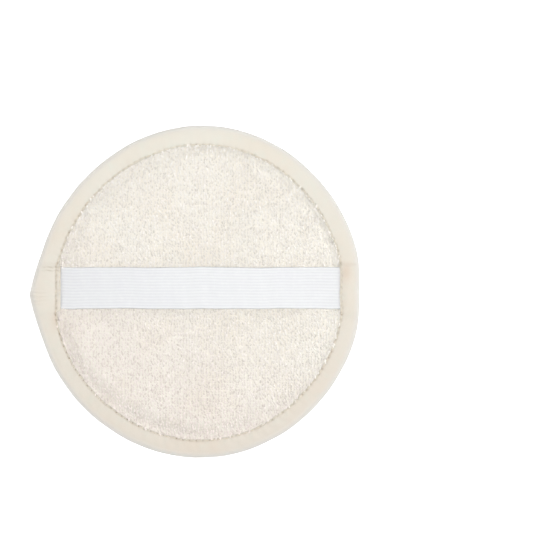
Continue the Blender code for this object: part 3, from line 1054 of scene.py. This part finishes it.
def loop_tree():
    """Yarn loops in columns over a cloth."""
    tree, given = new_tree("Terry loops", {
        "Column Spacing": 0.00132, "Loop Spacing": 0.00106, "Columns": 112, "Loops": 140,
        "Loop Width": 0.00060, "Loop Height": 0.00114, "Yarn Radius": 0.00030, "Scatter": 0.24,
        "Lean": 0.34, "Turn": 0.80, "Wobble": 0.00022, "Edge Clearance": -0.00040, "From": 0.0,
        "To": 0.1, "Seed": 1})
    column, row, height = given["Column Spacing"], given["Loop Spacing"], given["Loop Height"]
    spread = vector(column, row) * sideways(given) * given["Scatter"]
    grid = moved(even_grid(column, row, given["Columns"], given["Loops"]), spread)
    points = drop_on(given["Geometry"], OVER_PAD, -1.0, grid.to("MeshToPoints"))
    y = parts(position(tree))[1]
    room = named(tree, "room")
    out = any_of(off_ground(given), room < height * PRESSED_OUT, y < given["From"], y > given["To"])
    kept = keep(without(points, out), "tone", random_value(given, 0.0, 1.0, 3))
    lean = vector(given["Lean"], given["Lean"], given["Turn"])
    turn = random_value(given, (-1.0, -1.0, -1.0), (1.0, 1.0, 1.0), 1) * lean
    at_edge = fade(named(tree, "clear"), RIM_LOOPS_FROM, RIM_LOOPS_TO, RIM_LOOPS_SIZE, 1.0)
    size = at_edge * random_value(given, 0.8, 1.2, 2)
    pressed = fade(room, 0.0, height * PRESSED_FREE)
    placed = copies(kept, yarn_loop(given), turn, vector(size, size, size * pressed))
    wobble = (noise(position(tree), 900.0, 1.0)[1] - HALF_WAY) * given["Wobble"]
    return close_tree(given, moved(placed.to("RealizeInstances"), wobble))


LOOPS = loop_tree()
STRAP_TOP_Y = STRAP_MIDDLE_Y + STRAP_WIDTH / 2
STRAP_BOTTOM_Y = STRAP_MIDDLE_Y - STRAP_WIDTH / 2
loop_bands = (("above", STRAP_TOP_Y, 0.1), ("under", STRAP_BOTTOM_Y, STRAP_TOP_Y),
              ("below", -0.1, STRAP_BOTTOM_Y))
terry_loops = [grow(LOOPS, terry, f"terry_loops_{where}_strap", TERRY, **{"from": low, "to": high})
               for where, low, high in loop_bands]

# %% [markdown]
# ## The elastic strap
# Wide knitted elastic has rubber cords running lengthwise with yarn wound round them,
# so it looks ribbed. Its section is the same everywhere, which makes it a sweep: a tree
# shapes one ribbed section and carries it along the arch. The cords and the yarn over
# them are kept as values on the mesh, so that the knit in the material follows them.

# %% Sweep the ribbed elastic along its arch
STRAP_CORDS = 14
CORD_RELIEF = 0.00009
STRAP_END_INSET = 0.0042
STRAP_STATIONS = 140
EDGE_SHARPNESS = 60.0
BOW_HEIGHT, BOW_DROP = 0.00035, 0.00015
WAIST = 0.00018
RIPPLE_HEIGHT, RIPPLE_PITCH = 0.00007, 0.0088
WANDER_WAVES = ((0.00010, 0.041, 0.6), (0.00006, 0.0173, 0.0))


def new_path(name, points, closed=False):
    """A line through points, as an object that a tree can work on."""
    curve = bpy.data.curves.new(name, "CURVE")
    curve.dimensions = "3D"
    line = curve.splines.new("POLY")
    line.points.add(len(points) - 1)
    line.points.foreach_set("co", flat_numbers(np.column_stack([points, np.ones(len(points))])))
    line.use_cyclic_u = closed
    return add_object(name, curve)


def elastic_tree():
    """A flat ribbed band along a path."""
    tree, given = new_tree("Ribbed elastic", {
        "Width": 0.019, "Thickness": 0.0011, "Cords": 14, "Relief": 0.0002, "Points Across": 84})
    share = index(tree) / given["Points Across"]
    fold = maths("PINGPONG", share, 1.0)
    over = (share < 1.0) * 2.0 - 1.0
    cord = fold * given["Cords"]
    valley = maths("MULTIPLY_ADD", maths("COSINE", cord * math.tau), 0.5, 0.5)
    from_middle = maths("ABSOLUTE", maths("MULTIPLY_ADD", fold, 2.0, -1.0))
    rounding = maths("SQRT", 1.0001 - maths("POWER", from_middle, EDGE_SHARPNESS))
    up = (given["Thickness"] * 0.5 - given["Relief"] * valley) * rounding * over
    place = vector((fold - 0.5) * given["Width"], up)
    section = put_at(ring(tree, given["Points Across"] * 2.0, 1.0), place)
    section = keep(keep(section, "valley", valley), "rib", cord)
    path = keep(given["Geometry"], "along", put(tree, "GeometryNodeSplineParameter")["Length"])
    upright = path.to("SetCurveNormal", mode="Z_UP")
    return close_tree(given, sweep(upright, section).to("FlipFaces"))


def strap_path():
    """The middle line of the strap, from under one lip to under the other."""
    left = PAD_MIDDLE - float(outline(math.pi)) + STRAP_END_INSET
    right = PAD_MIDDLE + float(outline(0.0)) - STRAP_END_INSET
    x = np.linspace(left, right, STRAP_STATIONS)
    lift = strap_underside(x) + STRAP_THICKNESS / 2
    return np.stack([x, np.full_like(x, STRAP_MIDDLE_Y), lift], 1)


def settle_strap(band):
    """Bows the band across, lets its edges wander a little and narrows it at the seams."""
    x, y, z = points_of(band).astype(float).T
    share = span_share(x)
    across = (y - STRAP_MIDDLE_Y) / (STRAP_WIDTH / 2)
    free = 1 - smooth((share - 0.55) / 0.45)
    z = z + free * (BOW_HEIGHT * (1 - across**2) - BOW_DROP)
    wander = sum(size * np.sin(x * math.tau / pitch + start) for size, pitch, start in WANDER_WAVES)
    waist = -WAIST * np.sin(math.pi * np.clip(1 - share, 0, 1)) * across
    y = y + wander * (1 - smooth((share - 0.9) / 0.1)) + waist
    z = z + RIPPLE_HEIGHT * np.sin(x * math.tau / RIPPLE_PITCH + across * 1.3) * free
    move_points(band, np.stack([x, y, z], 1))


strap_line = new_path("strap_line", strap_path())
strap = grow(elastic_tree(), strap_line, "elastic_strap", ELASTIC, width=STRAP_WIDTH,
             thickness=STRAP_THICKNESS, cords=STRAP_CORDS, relief=CORD_RELIEF)
bpy.data.objects.remove(strap_line)
settle_strap(strap)
low, high = points_of(strap).min(0), points_of(strap).max(0)
print("strap box in mm:", (low * 1000).round(2), (high * 1000).round(2))

# %% [markdown]
# ## The stitches
# A lockstitch shows as short lengths of thread that dive into the cloth at each needle
# hole. They repeat along the seam, so a tree lays one twisted thread at every point of
# a path, turned to follow it. The path has one point a stitch, at the angles that the
# puckers in the tape already use. A second, short row holds the strap's left end.

# %% A tree for stitches along a seam
SEAM_SINK = 0.00012
SEAM_SIZES = {"stitch_length": 0.00215, "thread_radius": 0.00027, "rise": 0.00030, "dive": 0.00045}
END_SIZES = {"stitch_length": 0.00165, "thread_radius": 0.00024, "rise": 0.0003, "dive": 0.0004}
END_STITCHES = 7
END_ROW_Y = (0.0106, -0.0012)
END_ROW_SHIFT, END_SINK = 0.0005, 0.00022


def stitch_tree():
    """One bent, twisted thread for each point of a path."""
    tree, given = new_tree("Seam stitches", {
        "Stitch Length": 0.0024, "Thread Radius": 0.0003, "Rise": 0.0004, "Dive": 0.0004,
        "Sway": 0.05, "Face": 1.0, "Seed": 3})
    half = given["Stitch Length"] * 0.5
    near = half * 0.8
    dive = given["Dive"] * given["Face"] * -1.0
    rise = given["Rise"] * given["Face"] * 1.3
    line, share = arch(tree, 8, vector(-half, z=dive), vector(-near, z=rise),
                       vector(near, z=rise), vector(half, z=dive))
    turned = line.to("SetCurveTilt", {"Tilt": share * 5.5})
    number = index(tree)
    lobes = maths("MULTIPLY_ADD", maths("COSINE", number * (math.pi / 2)), 0.16, 0.92)
    two_ply = put_at(ring(tree, 8, given["Thread Radius"]), position(tree) * lobes)
    thread = sweep(turned, keep(two_ply, "twist", number / 4.0))
    points = given["Geometry"].to("CurveToPoints", mode="EVALUATED")
    direction = put(tree, "FunctionNodeAlignEulerToVector", {"Vector": points["Tangent"]},
                    axis="X", pivot_axis="Z")
    turn = direction + vector(z=given["Sway"] * random_value(given, -1.0, 1.0))
    size = random_value(given, (0.9, 0.88, 0.85), (1.04, 1.12, 1.1), 1)
    return close_tree(given, copies(points, thread, turn, size))


def seam_path(seam, face):
    """One point a stitch round the rim, at the height of the tape."""
    angle = np.arange(SEAM_STITCHES) * math.tau / SEAM_STITCHES
    inset = seam(angle)
    lift = lip_lift(angle, inset) + lap_rise(angle, inset) if face > 0 else lap_rise(angle, inset) / 2
    return at_rim(angle, inset, RIM_HEIGHT + face * (RIM_HALF + lift - SEAM_SINK))


def end_path():
    """A straight row across the strap's left end."""
    y = np.linspace(*END_ROW_Y, END_STITCHES)
    angle = np.pi - np.arcsin(y / LEFT_EDGE)
    inset = outline(angle) - np.hypot(LEFT_EDGE + END_ROW_SHIFT, y)
    return at_rim(angle, inset, RIM_HEIGHT + RIM_HALF + lip_lift(angle, inset) + LAP_STEP - END_SINK)


STITCHES = stitch_tree()


def sew(name, points, closed, **sizes):
    """Lays stitches along points and clears the path away."""
    line = new_path(name + "_line", points, closed)
    row = grow(STITCHES, line, name, THREAD, **sizes)
    bpy.data.objects.remove(line)
    return row


top_stitches = sew("top_stitches", seam_path(top_seam, 1), True, face=1.0, seed=4, **SEAM_SIZES)
end_stitches = sew("end_stitches", end_path(), False, face=1.0, seed=6, **END_SIZES)
under_stitches = sew("under_stitches", seam_path(under_seam, -1), True, face=-1.0, seed=5, **SEAM_SIZES)

# %% [markdown]
# ## The loofah
# A loofah is the dried skeleton of a gourd: a net of fine, hard fibres that branch in
# every direction, pressed flat into a sheet. A net of cells is the dual of a scattered
# triangle grid, so a tree makes that grid, turns it inside out with Dual Mesh, drops
# some of the edges, bends the rest and gives each a round section. Two nets of
# different cell sizes lie over each other on a fibre bed, with long stray strands.

# %% The fibre bed
LOOFAH_STEP, LOOFAH_RIM_POINTS = 0.0034, 150
NET_DEPTH = 0.0011
LUMP_HEIGHT = 0.00022
BED_EASE = 0.0040


def bed_height(x, y):
    """The bed lies above the working face, and it is lumpy."""
    inset = inset_of(x, y)
    along, across = np.sin(x * 410 + 2 * np.sin(y * 260)), np.sin(y * 370 + 1.7 * np.sin(x * 300 + 1))
    lumps = along * across * LUMP_HEIGHT
    return loofah_face(x, y) + (NET_DEPTH + lumps) * smooth((inset - UNDER_LIP) / BED_EASE)


flat_loofah, loofah_faces = cut_disc(LOOFAH_STEP, SHEET_INSET, LOOFAH_RIM_POINTS, 9)
bed_z = bed_height(flat_loofah[:, 0], flat_loofah[:, 1])
bed = close_sheet("loofah_bed", flat_loofah, bed_z, loofah_faces, LOOFAH_RIM_POINTS,
                  LOOFAH_TOP, FIBRE_BED, face_up=False)
bed_points = points_of(bed)
store_value(bed, "clear", inset_of(bed_points[:, 0], bed_points[:, 1]) - UNDER_LIP)
store_value(bed, "room", np.ones(len(bed_points)))
print(f"loofah bed: {len(bed.data.polygons) * 2} triangles")


# %% Trees for the net and the stray strands
def keep_above(geometry, lowest):
    """Lifts what hangs below the working face back to it."""
    x, y, z = parts(position(geometry.tree))
    return put_at(geometry, vector(x, y, maths("MAXIMUM", z, lowest)))


def fibre_tube(given, lines, sides):
    """Gives bent lines a round section whose thickness varies, and an age."""
    radius = given["Fibre Radius"] * random_value(given, 0.6, 1.35, 5)
    lines = keep_above(lines, given["Fibre Radius"] * 1.36)
    age = maths("POWER", random_value(given, 0.0, 1.0, 6), 3.0)
    aged = keep(lines, "age", age, domain="CURVE")
    return sweep(aged, ring(given.tree, sides, 1.0), Scale=radius)


def bend_lines(given, lines, depth):
    """Bends lines sideways and up and down, the same wherever two of them meet."""
    shifted = position(given.tree) + vector(z=given["Seed"])
    centred = noise(shifted, 1.0 / given["Bend Size"], 1.0)[1] - HALF_WAY
    return moved(lines, centred * vector(given["Bend"], given["Bend"], depth))


def lowered(given, lines):
    """Lines let down towards the working face."""
    return moved(lines, vector(z=-given["Lift"]))


def net_tree(sides):
    """A net of fibres over a bed."""
    tree, given = new_tree("Loofah net", {
        "Cell Size": 0.0022, "Rows": 76, "Scatter": 0.38, "Missing": 0.2, "Fibre Radius": 0.0002,
        "Bend": 0.0012, "Bend Size": 0.0016, "Lift": 0.0005, "Depth": 0.0012, "Steps": 4,
        "Edge Clearance": -0.0008, "Seed": 1})
    cell, rows = given["Cell Size"], given["Rows"]
    grid = even_grid(cell, cell, rows, rows)
    odd_row = maths("PINGPONG", maths("MODULO", index(tree), rows), 1.0)
    step = sideways(given) * given["Scatter"] + vector((odd_row - 0.5) * 0.5)
    cells = moved(grid, step * cell).to("Triangulate").to("DualMesh")
    laid = without(drop_on(given["Geometry"], UNDER_PAD, 1.0, cells), off_ground(given))
    torn = without(laid, random_value(given, 0.0, 1.0, 2) < given["Missing"], "EDGE")
    lines = torn.to("MeshToCurve").to("ResampleCurve", {"Count": given["Steps"]})
    bent = bend_lines(given, lowered(given, lines), given["Depth"])
    return close_tree(given, fibre_tube(given, bent, sides))


def strand_tree():
    """Long stray fibres that lie over the net."""
    tree, given = new_tree("Loofah strands", {
        "Spacing": 0.0046, "Rows": 33, "Strand Length": 0.014, "Fibre Radius": 0.00015, "Bend": 0.0050,
        "Bend Size": 0.0050, "Lift": 0.0009, "Depth": 0.0011, "Edge Clearance": -0.0001, "Grain": 0.9,
        "Seed": 1})
    gap, rows = given["Spacing"], given["Rows"]
    points = moved(even_grid(gap, gap, rows, rows), sideways(given) * gap).to("MeshToPoints")
    line = put(tree, "GeometryNodeCurvePrimitiveLine", {"Start": (-0.5, 0.0, 0.0), "End": (0.5, 0.0, 0.0)})
    line = line.to("ResampleCurve", {"Count": 11})
    turn = vector(z=given["Grain"] * random_value(given, -1.6, 1.6, 1) + 1.57)
    length = given["Strand Length"] * random_value(given, 0.4, 1.5, 2)
    real = copies(points, line, turn, vector(length, length, length)).to("RealizeInstances")
    laid = drop_on(given["Geometry"], UNDER_PAD, 1.0, bend_lines(given, real, 0.0))
    laid = without(laid, off_ground(given))
    single = put(tree, "GeometryNodeSplineLength")["Point Count"] < 1.5
    laid = lowered(given, without(laid, single, "CURVE"))
    rise = (noise(position(tree), 260.0, 1.0) - 0.5) * given["Depth"]
    return close_tree(given, fibre_tube(given, moved(laid, vector(z=rise)), 4))


OPEN_NET, CLOSE_NET = net_tree(4), net_tree(3)
loofah_pieces = [
    grow(OPEN_NET, bed, "loofah_net_open", FIBRE, cell_size=0.0020, rows=79, seed=11, missing=0.15,
         fibre_radius=0.00021, bend=0.0020, bend_size=0.0018, lift=0.00085, depth=0.0007, steps=3),
    grow(CLOSE_NET, bed, "loofah_net_close", FIBRE, cell_size=0.0015, rows=105, seed=12, missing=0.28,
         fibre_radius=0.00016, bend=0.0016, bend_size=0.0013, lift=0.00045, depth=0.0008, steps=3),
    grow(strand_tree(), bed, "loofah_strands", FIBRE, seed=13),
]

# %% [markdown]
# ## Put each piece on the pad's body
# Every piece rides on the pad's one body. The six main pieces take the place of their
# solids, which are hidden.

# %% Ride and replace
stands_for = {
    "terry_ground": ("terry_cloth", "terry"), "folded_binding": ("edge_binding", "binding"),
    "elastic_strap": ("hand_strap", "elastic"), "top_stitches": ("thread_top", "thread"),
    "under_stitches": ("thread_under", "thread"), "loofah_bed": ("loofah_sheet", "loofah"),
}
for piece_name, (node_name, slot_name) in stands_for.items():
    piece = bpy.data.objects[piece_name]
    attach(piece, "root")
    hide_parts(node_name)
for pieces, slot_name in ((terry_loops, "terry"), ([end_stitches], "thread"), (loofah_pieces, "loofah")):
    for piece in pieces:
        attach(piece, "root")

# %% [markdown]
# ## The studio
# The photograph is a bright catalogue picture: straight down, on white, and almost
# without shadows. So a small lamp hangs in line with the camera, where its shadows hide
# under what casts them. Two side lamps stand as on a copy stand, the right one stronger.
# Their light runs along the strap, so its long edges throw little shade. A weak lamp
# beyond the pad makes its far side a little brighter. A white surround, brighter low
# down, fills the rest, and the camera sees it as pure white. A long lens keeps the
# circle true.

# %% Floor, light and camera
PIXELS = 554
METRES_A_PIXEL = 0.0004532
PAD_PIXEL = (199.6, 292.0)
CAMERA_HEIGHT = 2.5
SENSOR_MM = 36.0
FLOOR_HALF = 6.0
FLOOR_DROP = 0.00005
HORIZON_LIGHT, ZENITH_LIGHT = 0.66, 0.16
LAMPS = (("overhead_lamp", (0.02, 0.0035, 1.2), 0.03, 8.1), ("left_lamp", (-0.9, -0.015, 0.85), 0.10, 4.25),
         ("right_lamp", (0.9, -0.015, 0.85), 0.10, 6.8), ("far_lamp", (0.15, 0.60, 0.70), 0.5, 0.7))


def make_floor():
    """A plain white surface under the pad."""
    signs = ((-1, -1), (1, -1), (1, 1), (-1, 1))
    corners = [(x * FLOOR_HALF, y * FLOOR_HALF, -FLOOR_DROP) for x, y in signs]
    floor = new_object("floor", corners, [(0, 1, 2, 3)])
    paper, _, shader, _ = new_finish("White paper", 0.9, 0.0)
    fill(shader, {"Base Color": (0.45, 0.45, 0.45, 1), "Emission Color": (1.0, 1.0, 1.0, 1),
                  "Emission Strength": 0.88})
    floor.data.materials.append(paper)


def make_lamp(name, place, side, power):
    """A soft lamp that faces the pad."""
    light = bpy.data.lights.new(name, "AREA")
    light.shape = "SQUARE"
    light.size = side
    light.energy = power
    lamp = add_object(name, light)
    lamp.location = place
    lamp.rotation_euler = (-Vector(place)).to_track_quat("-Z", "Y").to_euler()


def make_world():
    """A white surround, brighter low down, that the camera sees as pure white."""
    world = bpy.data.worlds.new("White surround")
    world.use_nodes = True
    tree = world.node_tree
    seen = put(tree, "ShaderNodeLightPath")["Is Camera Ray"]
    up = parts(put(tree, "ShaderNodeTexCoord")["Generated"])[2]
    level = fade(seen, 0.0, 1.0, fade(up, 0.0, 1.0, HORIZON_LIGHT, ZENITH_LIGHT), 1.0)
    fill(tree.nodes["Background"], {"Color": (1.0, 1.0, 1.0, 1), "Strength": level})
    bpy.context.scene.world = world


def make_camera():
    """Straight above the middle of the picture, which lies beside the pad."""
    middle_x = PAD_MIDDLE + (PIXELS / 2 - PAD_PIXEL[0]) * METRES_A_PIXEL
    middle_y = (PAD_PIXEL[1] - PIXELS / 2) * METRES_A_PIXEL
    lens = bpy.data.cameras.new("camera")
    lens.sensor_width = SENSOR_MM
    lens.lens = SENSOR_MM * (CAMERA_HEIGHT - RIM_HEIGHT) / (PIXELS * METRES_A_PIXEL)
    lens.clip_end = 20.0
    camera = add_object("camera", lens)
    camera.location = (middle_x, middle_y, CAMERA_HEIGHT)
    bpy.context.scene.camera = camera
    print(f"camera over {middle_x * 1000:.1f}, {middle_y * 1000:.1f} mm with a {lens.lens:.0f} mm lens")


make_floor()
make_world()
for lamp_facts in LAMPS:
    make_lamp(*lamp_facts)
make_camera()
bpy.context.scene.view_settings.view_transform = "Standard"
